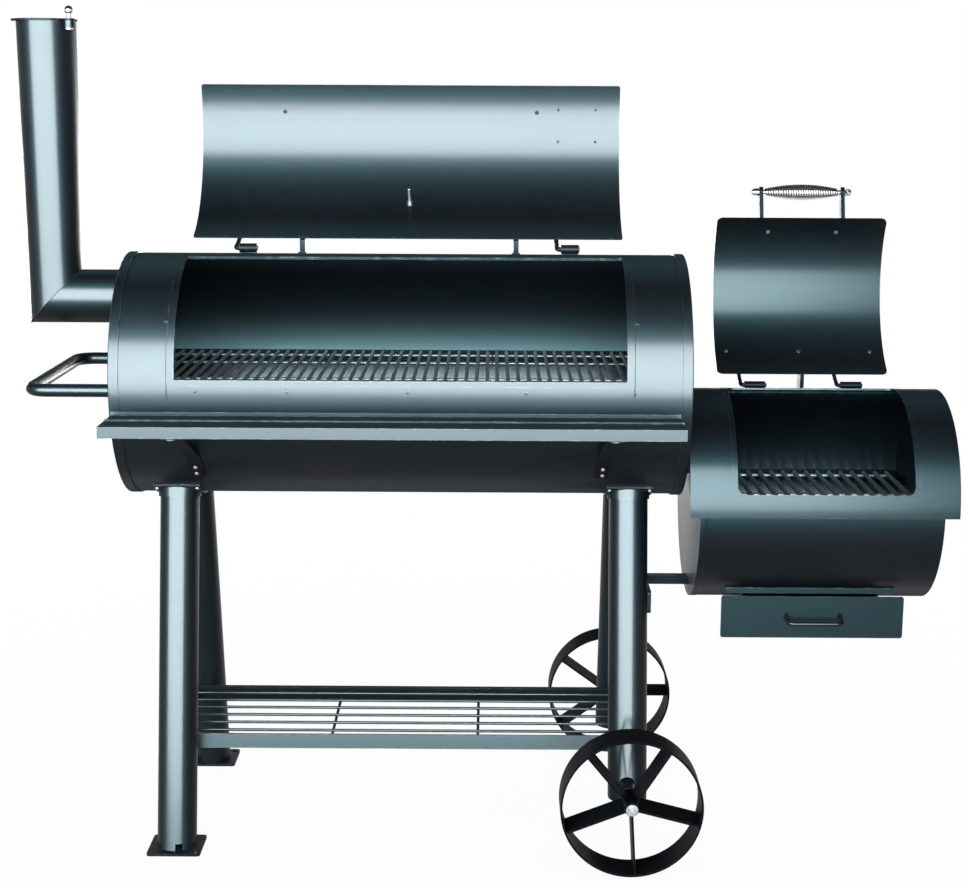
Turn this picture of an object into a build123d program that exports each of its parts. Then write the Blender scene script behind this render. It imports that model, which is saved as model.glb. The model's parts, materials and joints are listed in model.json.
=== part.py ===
from build123d import *
from math import atan2, cos, degrees, radians, sin, tan
import os

# Offset smoker with a long cooking barrel, a side firebox and a two-wheeled stand.
# Millimetres. X runs along the barrel, Y from front to back, Z up; the ground is Z = 0.
# Angles on the drums are measured from the top, positive towards the front (-Y).

# main barrel
barrel_z = 776.0
barrel_r = 203.0
barrel_wall = 3.0
barrel_half = 467.0
cap_ring_r = 205.0
cap_ring_width = 16.5
opening_half = 361.4
opening_rear = 10.5
opening_front = 84.8
frame_height = 1.5
frame_half = 373.0
frame_rear = 7.6
frame_front = 87.4

# main lid
lid_half = 369.5
lid_rear = 4.4
lid_front = 93.2
lid_inner_r = 205.0
lid_outer_r = 207.5
lid_hinge_y = 25.9
lid_hinge_z = 985.8
lid_open_angle = -165.07
hinge_rod_r = 4.0
sleeve_r = 8.0
pin_gap = 0.06
bolt_r = 3.0
bolt_hole_r = 3.1
rivet_r = 1.6
rivet_hole_r = 1.7

# cooking grates
grate_top = 788.0
grate_wire_r = 3.0
grate_width = 292.0
grate_pitch = 17.3
grate_half_depth = 191.0

# chimney
chimney_x = -591.0
chimney_r = 44.8
chimney_top_r = 48.6
chimney_wall = 2.5
chimney_top = 1358.0
stub_z = 905.7
cap_pivot_x = -545.0
cap_pivot_y = -34.7

# front shelf
shelf_left = -464.0
shelf_right = 448.0
shelf_front = -305.0
shelf_top = 737.0
shelf_lip = 18.0
shelf_sheet = 2.0
shelf_rib_y = -252.0
shelf_rear_y = -202.0
shelf_return = 26.0

# stand
left_leg_x = -380.0
right_leg_x = 377.3
leg_r = 32.7
leg_wall = 2.5
leg_y_ground = 194.5
leg_y_top = 69.0
leg_top_z = 590.0
foot_thick = 4.0
right_leg_end = 85.0
bar_top = 172.0
bar_height = 24.0
bar_lean = 8.0

# wheels
wheel_x = 375.0
wheel_z = 115.6
wheel_r = 115.6
wheel_width = 60.0
wheel_face_y = 308.0
wheel_flat = 3.5
axle_r = 7.0
hub_r = 11.5

# firebox
fire_z = 571.3
fire_r = 177.5
fire_wall = 3.0
fire_left = 487.3
fire_right = 886.5
hood_r = 180.0
hood_left = 470.2
hood_right = 909.9
fire_open_left = 547.2
fire_open_right = 836.4
fire_open_rear = -6.0
fire_open_front = 78.8

# firebox lid
fire_lid_x = 691.0
fire_lid_half = 149.5
fire_lid_rear = -9.4
fire_lid_front = 88.6
fire_lid_inner_r = 181.0
fire_lid_outer_r = 183.0
fire_hinge_y = 58.8
fire_hinge_z = 749.3
fire_open_angle = -142.8
fire_rod_r = 3.5
fire_sleeve_r = 6.8

# ash drawer
drawer_left = 533.0
drawer_right = 839.0
drawer_bottom = 348.0
drawer_top = 420.0
drawer_front_y = -122.9
housing_left = 568.0
housing_right = 799.0
housing_front_y = -109.0
housing_lip = 26.0

# air damper
damper_z = 497.0
damper_r = 52.0
damper_hole_r = 13.0
damper_hole_ring = 31.0


def box(x1, x2, y1, y2, z1, z2):
    solid = Box(x2 - x1, y2 - y1, z2 - z1)
    return Pos((x1 + x2) / 2, (y1 + y2) / 2, (z1 + z2) / 2) * solid


def bar(start, end, radius):
    base = Vector(*start)
    along = Vector(*end) - base
    solid = Cylinder(radius, along.length, align=(Align.CENTER, Align.CENTER, Align.MIN))
    return Plane(origin=base, z_dir=along) * solid


def drum(radius, x1, x2, z):
    return bar((x1, 0, z), (x2, 0, z), radius)


def ring(r_out, r_in, x1, x2, z):
    return drum(r_out, x1, x2, z) - drum(r_in, x1 - 1, x2 + 1, z)


def on_drum(radius, angle, z):
    return (-radius * sin(radians(angle)), z + radius * cos(radians(angle)))


def band(r_in, r_out, start, end, x1, x2, z):
    """A curved plate: part of a drum's wall between two angles."""
    middle = (start + end) / 2
    inner = [on_drum(r_in, angle, z) for angle in (start, middle, end)]
    outer = [on_drum(r_out, angle, z) for angle in (start, middle, end)]
    outline = [
        Line(inner[0], outer[0]),
        ThreePointArc(*outer),
        Line(outer[2], inner[2]),
        ThreePointArc(inner[2], inner[1], inner[0]),
    ]
    face = Plane.YZ.offset(x1) * make_face(outline)
    return extrude(face, amount=x2 - x1)


def soft_band(r_in, r_out, start, end, x1, x2, z, corner):
    """The same plate with its four corners rounded."""
    plate = band(r_in, r_out, start, end, x1, x2, z)
    thickness = r_out - r_in
    short = [edge for edge in plate.edges() if abs(edge.length - thickness) < 0.01]
    return fillet(short, corner)


def frame_band(r_in, r_out, outside, inside, corner, z):
    """A strip running round a window; each window is (start, end, x1, x2)."""
    strip = band(r_in, r_out, *outside, z)
    window = soft_band(r_in - 5, r_out + 5, *inside, z, corner)
    return strip - window


def bent_rod(points, radius, bend):
    """A round rod through the points with every corner bent to a radius."""
    corners = [Vector(*point) for point in points]
    edges = []
    start = corners[0]
    for before, corner, after in zip(corners, corners[1:], corners[2:]):
        into = (corner - before).normalized()
        out = (after - corner).normalized()
        half = radians(into.get_angle(out) / 2)
        first = corner - into * bend * tan(half)
        last = corner + out * bend * tan(half)
        inward = (out - into).normalized()
        middle = corner + inward * (bend / cos(half) - bend)
        edges.append(Line(start, first))
        edges.append(ThreePointArc(first, middle, last))
        start = last
    edges.append(Line(start, corners[-1]))
    section = Plane(origin=corners[0], z_dir=corners[1] - corners[0]) * Circle(radius)
    return sweep(section, path=Wire(edges))


def strap(points, thickness, x1, x2):
    """A flat bar folded along points in the YZ plane."""
    left = []
    right = []
    for index, point in enumerate(points):
        here = Vector(*point)
        before = Vector(*points[max(index - 1, 0)])
        after = Vector(*points[min(index + 1, len(points) - 1)])
        into = (here - before) if index else (after - here)
        out = (after - here) if index < len(points) - 1 else (here - before)
        side = (into.normalized() + out.normalized()).normalized()
        normal = Vector(-side.Y, side.X)
        across = Vector(-into.normalized().Y, into.normalized().X)
        reach = thickness / 2 / normal.dot(across)
        left.append(here + normal * reach)
        right.append(here - normal * reach)
    outline = Polyline(*left, *reversed(right), close=True)
    return extrude(Plane.YZ.offset(x1) * make_face(outline), amount=x2 - x1)


def seat(x, radius, angle, z):
    """A plane lying on a drum, with its normal pointing away from the drum."""
    y, height = on_drum(radius, angle, z)
    outward = (0, -sin(radians(angle)), cos(radians(angle)))
    return Plane(origin=(x, y, height), x_dir=(1, 0, 0), z_dir=outward)


def post(radius, low, high):
    solid = Cylinder(radius, high - low, align=(Align.CENTER, Align.CENTER, Align.MIN))
    return Pos(0, 0, low) * solid


def dome(radius, height, low):
    """A low rounded screw head standing on its flat side."""
    head = post(radius, low, low + height)
    return fillet(head.edges().group_by(Axis.Z)[-1], height * 0.6)


def hexagon(radius, low, high):
    flat = Pos(0, 0, low) * extrude(RegularPolygon(radius, 6), amount=high - low)
    return flat


def joined(parts):
    """Fuse touching parts into one shape, all in one operation."""
    return parts[0].fuse(*parts[1:]) if len(parts) > 1 else parts[0]


def group(parts):
    """Keep parts that stand apart together in one shape."""
    solids = []
    for part in parts:
        solids.extend(part.solids())
    return Compound(children=solids)


def swing(part, y, z, angle):
    return part.rotate(Axis((0, y, z), (1, 0, 0)), angle)


def leg_axis_y(z):
    return leg_y_top + (leg_y_ground - leg_y_top) * (leg_top_z - z) / leg_top_z


def leg_rod(x, side, radius, low, high):
    return bar((x, side * leg_axis_y(low), low), (x, side * leg_axis_y(high), high), radius)


# ---- main barrel ----

def barrel_shell():
    shell = ring(barrel_r, barrel_r - barrel_wall, -barrel_half + 3, barrel_half - 3, barrel_z)
    window = band(150, 250, opening_rear, opening_front, -opening_half, opening_half, barrel_z)
    shell = shell - window
    rest = grate_top - 2 * grate_wire_r - 5.5
    inside = drum(barrel_r - barrel_wall, -440, 440, barrel_z)
    rails = []
    for side in (-1, 1):
        near, far = sorted((side * 178, side * 206))
        rails.append(box(-438, 438, near, far, rest - 3, rest) & inside)
    return joined([shell] + rails)


def end_cap(side):
    outer = side * barrel_half
    inner = side * (barrel_half - 3)
    lip = side * (barrel_half - cap_ring_width)
    x1, x2 = sorted((outer, inner))
    disc = drum(cap_ring_r, x1, x2, barrel_z)
    x1, x2 = sorted((inner, lip))
    rim = ring(cap_ring_r, barrel_r, x1, x2, barrel_z)
    cap = joined([disc, rim])
    edge = cap.edges().filter_by(GeomType.CIRCLE).sort_by(Axis.X)
    outer_edge = edge[-1] if side > 0 else edge[0]
    return fillet([outer_edge], 1.6)


def throat_window(x1, x2, grow=0.0):
    return box(x1, x2, -95 - grow, 95 + grow, 628 - grow, 705 + grow)


def right_cap():
    return end_cap(1) - throat_window(barrel_half - 5, barrel_half + 5)


def left_cap():
    return end_cap(-1) - bar((-480, 0, stub_z), (-450, 0, stub_z), chimney_r - chimney_wall)


def opening_frame():
    outside = (frame_rear, frame_front, -frame_half, frame_half)
    inside = (opening_rear, opening_front, -opening_half, opening_half)
    return frame_band(barrel_r, barrel_r + frame_height, outside, inside, 2.0, barrel_z)


def sleeve(x1, x2, y, z, outer, bore, drum_z, drum_r):
    """A hinge sleeve with the weld foot that holds it on the drum."""
    tube = bar((x1, y, z), (x2, y, z), outer)
    foot = box(x1 + 3, x2 - 3, y - outer * 0.55, y + outer * 0.55, z - outer - 9, z)
    hole = bar((x1 - 5, y, z), (x2 + 5, y, z), bore)
    return joined([tube, foot]) - hole - drum(drum_r, x1 - 5, x2 + 5, drum_z)


def open_drum_centre(hinge_y, hinge_z, angle, drum_z):
    """Where a lid's own axis goes when the lid is thrown back."""
    turn = radians(angle)
    dy = -hinge_y
    dz = drum_z - hinge_z
    y = hinge_y + dy * cos(turn) - dz * sin(turn)
    z = hinge_z + dy * sin(turn) + dz * cos(turn)
    return y, z


def lid_hinge_mounts():
    parts = []
    for x1, x2 in ((-284.0, -254.0), (262.0, 292.0)):
        parts.append(sleeve(x1, x2, lid_hinge_y, lid_hinge_z, sleeve_r,
                            hinge_rod_r + pin_gap, barrel_z, barrel_r))
    y, z = open_drum_centre(lid_hinge_y, lid_hinge_z, lid_open_angle, barrel_z)
    for x in (-181.0, 186.0):
        fin = box(x - 4.6, x + 4.6, 60, 100, 940, 1060)
        foot = box(x - 7, x + 7, 56, 104, 940, 1060) & drum(barrel_r + 6, x - 8, x + 8, barrel_z)
        fin = joined([fin, foot]) - drum(barrel_r, x - 20, x + 20, barrel_z)
        fin = fin - bar((x - 20, y, z), (x + 20, y, z), lid_outer_r + 0.4)
        parts.append(fin)
    return group(parts)


# ---- main lid (modelled shut, then thrown back) ----

handle_angle = 80.0
handle_reach = 60.0
handle_half = 235.0
handle_post = 7.0
plate_angles = (65.8, 81.4)
plate_x = (261.0, 327.0)
gauge_angle = 32.0
gauge_stem_r = 3.1
gauge_stem_end = -40.0


def lid_bolt_seats():
    seats = [seat(side * (handle_half - 12), lid_outer_r, handle_angle, barrel_z) for side in (-1, 1)]
    return seats


def plate_seats():
    return [seat(x, lid_outer_r, angle, barrel_z) for x in plate_x for angle in plate_angles]


def main_lid_panel():
    panel = soft_band(lid_inner_r, lid_outer_r, lid_rear, lid_front, -lid_half, lid_half, barrel_z, 4.0)
    for place in lid_bolt_seats():
        panel = panel - place * post(bolt_hole_r, -10, 10)
    for place in plate_seats():
        panel = panel - place * post(rivet_hole_r, -10, 10)
    return panel - seat(0, lid_outer_r, gauge_angle, barrel_z) * post(6.0, -20, 20)


def hinge_rods(starts, length, hinge_y, hinge_z, radius, drum_z, lie_r, first, last):
    """L-shaped rods: a pin in the sleeve and an arm lying along the lid."""
    rods = []
    step = (last - first) / 3
    arm = [on_drum(lie_r, first + step * index, drum_z) for index in range(1, 4)]
    for x in starts:
        points = [(x + length, hinge_y, hinge_z), (x, hinge_y, hinge_z)]
        points += [(x, y, z) for y, z in arm]
        rods.append(bent_rod(points, radius, radius * 1.6))
    return group(rods)


def main_hinge_rods():
    lie = lid_outer_r + hinge_rod_r + 0.5
    return hinge_rods((-290.5, 255.5), 38, lid_hinge_y, lid_hinge_z, hinge_rod_r,
                      barrel_z, lie, -7, 20)


def handle_frame(x, side, radius, angle, z, lean, reach, hole):
    """One flat handle post with its foot bolted to the lid."""
    base = seat(x, radius, angle, z)
    tilt = radians(angle + lean)
    outward = (0, -sin(tilt), cos(tilt))
    arm_plane = Plane(origin=base.origin, x_dir=(1, 0, 0), z_dir=outward)
    upright = Pos(0, 0, reach / 2 - 12) * Box(handle_post, 16, reach + 24)
    eye = Pos(0, 0, reach) * Rot(0, 90, 0) * Cylinder(9.5, handle_post)
    upright = joined([upright, eye])
    upright = arm_plane * upright
    foot = base * (Pos(-side * 12, 0, 1.5) * Box(28, 18, 4))
    cut = bar((x - 60, 0, z), (x + 60, 0, z), radius)
    strut = joined([upright, foot]) - cut
    y1, z1 = base.origin.Y, base.origin.Z
    axis = (y1 + outward[1] * reach, z1 + outward[2] * reach)
    strut = strut - bar((x - 50, *axis), (x + 50, *axis), hole)
    return strut - base * (Pos(-side * 12, 0, 0) * post(bolt_hole_r, -20, 20)), axis


def main_handle_posts():
    parts = []
    for side in (-1, 1):
        part, axis = handle_frame(side * handle_half, side, lid_outer_r, handle_angle, barrel_z,
                                  0, handle_reach, 5.0)
        parts.append(part)
    return group(parts)


def grip(x, axis, half_bar, half_coil, end_r, middle_r, bar_r, tip_r, tip_end):
    """A round bar with a barrel-shaped wound grip and bullet ends."""
    bend = tip_r * sin(radians(45))
    shoulder = tip_end - tip_r
    outline = [ThreePointArc((-half_coil, end_r), (0, middle_r), (half_coil, end_r))]
    for side in (-1, 1):
        outline += [
            Line((side * half_coil, end_r), (side * half_coil, bar_r)),
            Line((side * half_coil, bar_r), (side * half_bar, bar_r)),
            Line((side * half_bar, bar_r), (side * half_bar, tip_r)),
            Line((side * half_bar, tip_r), (side * shoulder, tip_r)),
            ThreePointArc((side * shoulder, tip_r), (side * (shoulder + bend), bend),
                          (side * tip_end, 0)),
        ]
    outline.append(Line((-tip_end, 0), (tip_end, 0)))
    return Pos(x, *axis) * revolve(make_face(outline), Axis.X)


def main_handle_grip():
    y, z = on_drum(lid_outer_r + handle_reach, handle_angle, barrel_z)
    return grip(0, (y, z), handle_half + handle_post / 2, 100, 8, 16, 5.0, 8.0, handle_half + 17)


def rivet(place, shank, head, height, bottom, top, low_head, low_height):
    """A shank with a domed head outside and a smaller, flatter one inside."""
    body = joined([post(shank, bottom, top), dome(head, height, top)])
    under = Rot(180, 0, 0) * dome(low_head, low_height, -bottom)
    return place * joined([body, under])


def main_lid_bolts():
    parts = [rivet(place, bolt_r, 5.5, 3.0, -2.58, 3.5, 3.6, 0.8) for place in lid_bolt_seats()]
    parts += [rivet(place, rivet_r, 3.0, 1.4, -2.55, 1.0, 2.2, 0.7) for place in plate_seats()]
    return group(parts)


def name_plate():
    plate = soft_band(lid_outer_r, lid_outer_r + 1, 62.5, 84.7, 251, 337, barrel_z, 5)
    for place in plate_seats():
        plate = plate - place * post(rivet_hole_r, -10, 10)
    return plate


def gauge_seat():
    return seat(0, lid_outer_r, gauge_angle, barrel_z)


def thermometer_case():
    body = post(38, 0.3, 21) - post(35, 4, 30)
    lip = post(38, 18.5, 21) - post(33, 10, 30)
    boss = post(5.9, -6, 2)
    nut = hexagon(6.6, -7.5, -3)
    stem = post(gauge_stem_r, gauge_stem_end, -2)
    tip = Pos(0, 0, gauge_stem_end) * Sphere(gauge_stem_r)
    case = joined([body, lip, boss, nut, stem, tip])
    return gauge_seat() * case


def thermometer_dial():
    return gauge_seat() * (post(34.9, 4, 5) - post(1.56, 0, 10))


def thermometer_needle():
    hub = joined([post(1.5, 4.3, 9), post(4, 6.5, 8.5)])
    hand = Pos(0, 9, 7.4) * Box(2.2, 34, 1.2)
    return gauge_seat() * joined([hub, hand])


def thermometer_glass():
    return gauge_seat() * post(34.9, 16, 18.4)


# ---- cooking grates ----

def cooking_grate(x):
    wire_z = grate_top - grate_wire_r
    wires = []
    count = 17
    for index in range(count):
        wx = (index - (count - 1) / 2) * grate_pitch
        wires.append(bar((wx, -grate_half_depth, wire_z), (wx, grate_half_depth, wire_z), grate_wire_r))
    cross_z = wire_z - 5.5
    for y in (-185, -92, 92, 185):
        half = grate_width / 2 - 1
        wires.append(bar((-half, y, cross_z), (half, y, cross_z), grate_wire_r))
    return Pos(x, 0, 0) * joined(wires)


# ---- chimney ----

def mitre_half(upper):
    """A big block on one side of the elbow's slanting joint."""
    size = 2000
    block = Box(size, size, size)
    shift = size / 2
    block = Pos(0, 0, shift if upper else -shift) * block
    return Pos(chimney_x, 0, stub_z) * (Rot(0, -45, 0) * block)


def chimney_stub():
    outer = bar((chimney_x - 60, 0, stub_z), (-barrel_half, 0, stub_z), chimney_r)
    inner = bar((chimney_x - 70, 0, stub_z), (-barrel_half + 10, 0, stub_z), chimney_r - chimney_wall)
    return (outer & mitre_half(False)) - (inner & mitre_half(False))


def flared_tube(low_r, top_r):
    """A round column, straight at the elbow and widening slowly to the top."""
    knee = stub_z + 55
    height = chimney_top - knee
    column = bar((chimney_x, 0, stub_z - 70), (chimney_x, 0, knee), low_r)
    return joined([column, Pos(chimney_x, 0, knee + height / 2) * Cone(low_r, top_r, height)])


def chimney_pipe():
    outer = flared_tube(chimney_r, chimney_top_r)
    inner = flared_tube(chimney_r - chimney_wall, chimney_top_r - chimney_wall)
    lug = bar((cap_pivot_x, cap_pivot_y, chimney_top - 11), (cap_pivot_x, cap_pivot_y, chimney_top), 9)
    web = box(chimney_x, cap_pivot_x, -6, 6, chimney_top - 11, chimney_top)
    web = web.rotate(Axis((chimney_x, 0, 0), (0, 0, 1)), -37.1)
    pipe = joined([outer & mitre_half(True), lug, web])
    pin_hole = bar((cap_pivot_x, cap_pivot_y, 1300), (cap_pivot_x, cap_pivot_y, 1400), 4.2 + pin_gap)
    return pipe - (inner & mitre_half(True)) - pin_hole


def chimney_cap():
    low = chimney_top + 0.4
    plate = Pos(-593.9, 0, low) * post(53.4, 0, 3.2)
    ear = Pos(cap_pivot_x, cap_pivot_y, low) * post(9, 0, 3.2)
    plate = joined([plate, ear])
    return plate - Pos(cap_pivot_x, cap_pivot_y, low) * post(4.2, -1, 5)


def chimney_cap_pin():
    pin = post(4.2, chimney_top - 14, chimney_top + 11)
    clip = post(6.5, chimney_top - 14, chimney_top - 11.4)
    ball = Pos(0, 0, chimney_top + 17) * Sphere(7)
    return Pos(cap_pivot_x, cap_pivot_y, 0) * joined([pin, clip, ball])


# ---- handle and shelf ----

def side_handle():
    z = 773.5
    points = [(-barrel_half, -182, z), (-599.5, -182, z), (-599.5, 174, z), (-barrel_half, 174, z)]
    return bent_rod(points, 10.5, 30)


def front_shelf():
    sheet = box(shelf_left, shelf_right, shelf_front, -150, shelf_top - shelf_sheet, shelf_top)
    lip = box(shelf_left, shelf_right, shelf_front, shelf_front + shelf_sheet,
              shelf_top - shelf_lip, shelf_top)
    fold = box(shelf_left, shelf_right, shelf_front, shelf_front + shelf_return,
               shelf_top - shelf_lip, shelf_top - shelf_lip + shelf_sheet)
    rib = box(shelf_left, shelf_right, shelf_rib_y - 3, shelf_rib_y + 3, shelf_top - 1,
              shelf_top + 2.5)
    rear = box(shelf_left, shelf_right, shelf_rear_y - 2, shelf_rear_y, shelf_top - 1,
               shelf_top + 6)
    parts = [sheet, lip, fold, rib, rear]
    for x1 in (shelf_left, shelf_right - shelf_sheet):
        parts.append(box(x1, x1 + shelf_sheet, shelf_front, -212, shelf_top - shelf_lip, shelf_top))
    shelf = joined(parts) - drum(barrel_r, -600, 600, barrel_z)
    return shelf - drum(cap_ring_r, -600, -barrel_half + cap_ring_width, barrel_z)


def shelf_bolt_places():
    return [(x, -287.0, shelf_top - shelf_lip - brace_sheet) for x in (-354.0, 339.0)]


brace_x = (-338.0, 328.0)
brace_sheet = 3.0
brace_bolt_angles = (129.8, 134.6)


def shelf_braces():
    y1, z1 = on_drum(barrel_r + brace_sheet / 2, 127, barrel_z)
    y2, z2 = on_drum(barrel_r + brace_sheet / 2, 132, barrel_z)
    y3, z3 = on_drum(barrel_r + brace_sheet / 2, 137.5, barrel_z)
    under = shelf_top - shelf_lip - brace_sheet / 2
    line = [(-299, under), (-274, under), (y1 - 9, z1 + 12), (y1, z1), (y2, z2), (y3, z3)]
    parts = []
    for low_x, (top_x, top_y, _) in zip(brace_x, shelf_bolt_places()):
        piece = strap(line, brace_sheet, low_x - 12, low_x + 12)
        lean = degrees(atan2(top_x - low_x, y2 - top_y))
        piece = piece.rotate(Axis((low_x, y2, 0), (0, 0, 1)), lean)
        parts.append(piece - drum(barrel_r, low_x - 90, low_x + 90, barrel_z))
    return group(parts)


def leg_saddles():
    """Curved plates under the barrel, each with the collar that takes a leg."""
    parts = []
    for x in (left_leg_x, right_leg_x):
        for side in (-1, 1):
            angles = (148.5, 174.5) if side < 0 else (185.5, 211.5)
            plate = band(barrel_r, barrel_r + 3, *angles, x - 38.5, x + 38.5, barrel_z)
            collar = leg_rod(x, side, leg_r + 2.8, 575, 640) - leg_rod(x, side, leg_r, 560, 650)
            collar = collar - drum(barrel_r + 1.5, x - 90, x + 90, barrel_z)
            parts.append(joined([plate, collar]))
    return group(parts)


def frame_bolts():
    parts = []
    for x, y, z in shelf_bolt_places():
        parts.append(Pos(x, y, z) * (Rot(180, 0, 0) * dome(6.0, 3.2, 0)))
    for x in brace_x:
        for angle in brace_bolt_angles:
            place = seat(x, barrel_r + brace_sheet + 0.6, angle, barrel_z)
            parts.append(place * dome(3.4, 2.2, 0))
    for x in (left_leg_x, right_leg_x):
        for angle in (151.5, 208.5):
            for side in (-1, 1):
                place = seat(x + side * 33.5, barrel_r + 3.0, angle, barrel_z)
                parts.append(place * dome(3.4, 2.2, 0))
    for y in (-70, 70):
        place = Plane(origin=(416, y, 405), z_dir=(1, 0, 0))
        parts.append(place * dome(6.0, 3.5, 0))
    return group(parts)


# ---- stand ----

def leg(x, side, bottom):
    outer = leg_rod(x, side, leg_r, -60, 660)
    inner = leg_rod(x, side, leg_r - leg_wall, -80, 680)
    tube = (outer - inner) & box(x - 60, x + 60, -300, 300, bottom, 700)
    tube = tube - drum(barrel_r + 3, x - 100, x + 100, barrel_z)
    if bottom > 50:
        tube = tube - bar((wheel_x, -400, wheel_z), (wheel_x, 400, wheel_z), axle_r)
    else:
        y1, y2 = sorted((side * leg_axis_y(0), side * (leg_axis_y(0) + 60)))
        tube = tube - box(x + 2, x + 14, y1, y2, 0, foot_thick + 11)
    return tube


def foot_plates():
    parts = []
    for side in (-1, 1):
        y1, y2 = sorted((side * 160, side * 240))
        plate = box(-424, -335, y1, y2, 0, foot_thick)
        upright = [edge for edge in plate.edges() if abs(edge.length - foot_thick) < 0.01]
        plate = fillet(upright, 6)
        plate = plate - Pos(-344, side * 228, 0) * post(5, -5, 10)
        parts.append(plate)
    return group(parts)


def bottom_bars():
    parts = []
    for side in (-1, 1):
        y1, y2 = sorted((side * 120.5, side * 128))
        rail = box(-395, 392, y1, y2, bar_top - bar_height, bar_top)
        edge = Axis((0, side * 124, bar_top - bar_height / 2), (1, 0, 0))
        parts.append(rail.rotate(edge, side * bar_lean))
    for x in (-395, 388):
        parts.append(box(x, x + 4, -120.5, 120.5, bar_top - bar_height, bar_top - 6))
    frame = joined(parts)
    for x in (left_leg_x, right_leg_x):
        for side in (-1, 1):
            frame = frame - leg_rod(x, side, leg_r, 20, 300)
    return frame


def bottom_wires():
    wires = []
    for y in (-95, -57, -19, 19, 57, 95):
        wires.append(bar((-394, y, bar_top - 3.5), (391, y, bar_top - 3.5), 2.5))
    for x in (-125, 125):
        wires.append(bar((x, -119.5, bar_top - 8), (x, 119.5, bar_top - 8), 2.5))
    return joined(wires)


def cross_plate():
    plate = box(410.0, 416.0, -114, 114, 386, 424)
    upright = [edge for edge in plate.edges() if abs(edge.length - 6) < 0.01]
    return fillet(upright, 5)


def strut():
    rod = box(416.0, fire_left, -7.75, 7.75, 408, 423.5)
    return rod


def axle():
    rod = bar((wheel_x, -wheel_face_y - 0.4, wheel_z), (wheel_x, wheel_face_y + 0.4, wheel_z), axle_r)
    parts = [rod]
    for side in (-1, 1):
        tube_end = wheel_face_y - wheel_width - 0.4
        tube = bar((wheel_x, side * 150, wheel_z), (wheel_x, side * tube_end, wheel_z), 13)
        legs = leg_rod(right_leg_x, side, leg_r, 20, 300)
        tube = tube - legs
        outer = tube.solids().sort_by(Axis.Y)
        parts.append(outer[-1] if side > 0 else outer[0])
    return joined(parts)


def axle_nuts():
    parts = []
    for side in (-1, 1):
        face = Plane(origin=(wheel_x, side * (wheel_face_y + 0.4), wheel_z), z_dir=(0, side, 0))
        parts.append(face * joined([post(9.8, 0, 1.6), hexagon(7.2, 1.6, 6.5), dome(4.4, 2.4, 6.5)]))
    return group(parts)


# ---- wheels ----

def wheel_rim(side):
    y1, y2 = sorted((side * wheel_face_y, side * (wheel_face_y - wheel_width)))
    outer = bar((wheel_x, y1, wheel_z), (wheel_x, y2, wheel_z), wheel_r)
    inner = bar((wheel_x, y1 - 5, wheel_z), (wheel_x, y2 + 5, wheel_z), wheel_r - wheel_flat)
    return outer - inner


def wheel_spokes(side, first):
    y1, y2 = sorted((side * wheel_face_y, side * (wheel_face_y - wheel_width)))
    parts = [bar((0, y1 + 1, 0), (0, y2 - 1, 0), hub_r)]
    for index in range(5):
        flat = box(hub_r - 2, wheel_r, y1 + 1, y2 - 1, -wheel_flat / 2, wheel_flat / 2)
        parts.append(flat.rotate(Axis.Y, -(first + 72 * index)))
    spider = joined(parts) & bar((0, y1, 0), (0, y2, 0), wheel_r - wheel_flat)
    spider = spider - bar((0, y1 - 5, 0), (0, y2 + 5, 0), axle_r + pin_gap)
    return Pos(wheel_x, 0, wheel_z) * spider


# ---- firebox ----

def firebox_shell():
    shell = ring(fire_r, fire_r - fire_wall, fire_left, fire_right, fire_z)
    shell = shell - band(150, 200, -20, 87, 530, 856, fire_z)
    shell = shell - box(590, 790, -38, 38, 380, 420)
    inside = drum(fire_r - fire_wall, 495, 880, fire_z)
    rest = fire_z - 9.0
    rails = []
    for side in (-1, 1):
        near, far = sorted((side * 158, side * 180))
        rails.append(box(497, 877, near, far, rest - 3, rest) & inside)
    return joined([shell] + rails)


def firebox_left_plate():
    plate = drum(fire_r - fire_wall, fire_left, fire_left + 3, fire_z)
    return plate - throat_window(fire_left - 5, fire_left + 10)


def damper_places():
    return [(damper_hole_ring * cos(radians(a)), damper_hole_ring * sin(radians(a)))
            for a in (90, 210, 330)]


def firebox_right_plate():
    plate = drum(fire_r - fire_wall, fire_right - 3, fire_right, fire_z)
    for y, z in damper_places():
        plate = plate - bar((fire_right - 10, y, damper_z + z), (fire_right + 10, y, damper_z + z),
                            damper_hole_r)
    pivot = bar((fire_right - 1, 0, damper_z), (fire_right + 7, 0, damper_z), 4)
    head = bar((fire_right + 5.2, 0, damper_z), (fire_right + 9, 0, damper_z), 8)
    return joined([plate, pivot, head])


def air_damper():
    x1 = fire_right + 0.5
    plate = bar((x1, 0, damper_z), (x1 + 2.5, 0, damper_z), damper_r)
    for y, z in damper_places():
        plate = plate - bar((x1 - 5, y, damper_z + z), (x1 + 10, y, damper_z + z), damper_hole_r)
    tab = box(x1, x1 + 2.5, -9, 9, damper_z + damper_r - 4, damper_z + damper_r + 16)
    stem = bar((x1 + 1, 0, damper_z + damper_r + 8), (x1 + 12, 0, damper_z + damper_r + 8), 3.5)
    knob = Pos(x1 + 14, 0, damper_z + damper_r + 8) * Sphere(7)
    plate = joined([plate, tab, stem, knob])
    return plate - bar((x1 - 5, 0, damper_z), (x1 + 5, 0, damper_z), 4 + pin_gap)


def firebox_hood():
    hood = band(fire_r, hood_r, -91, 91, hood_left, hood_right, fire_z)
    window = soft_band(150, 220, fire_open_rear, fire_open_front, fire_open_left, fire_open_right,
                       fire_z, 13)
    outside = (fire_open_rear - 2.5, fire_open_front + 2.6, fire_open_left - 8, fire_open_right + 8)
    inside = (fire_open_rear, fire_open_front, fire_open_left, fire_open_right)
    flange = frame_band(hood_r - 0.5, hood_r + 0.35, outside, inside, 13, fire_z)
    return joined([hood - window, flange])


def firebox_throat():
    outer = throat_window(barrel_half, fire_left, 3)
    return outer - throat_window(barrel_half - 5, fire_left + 5)


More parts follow.
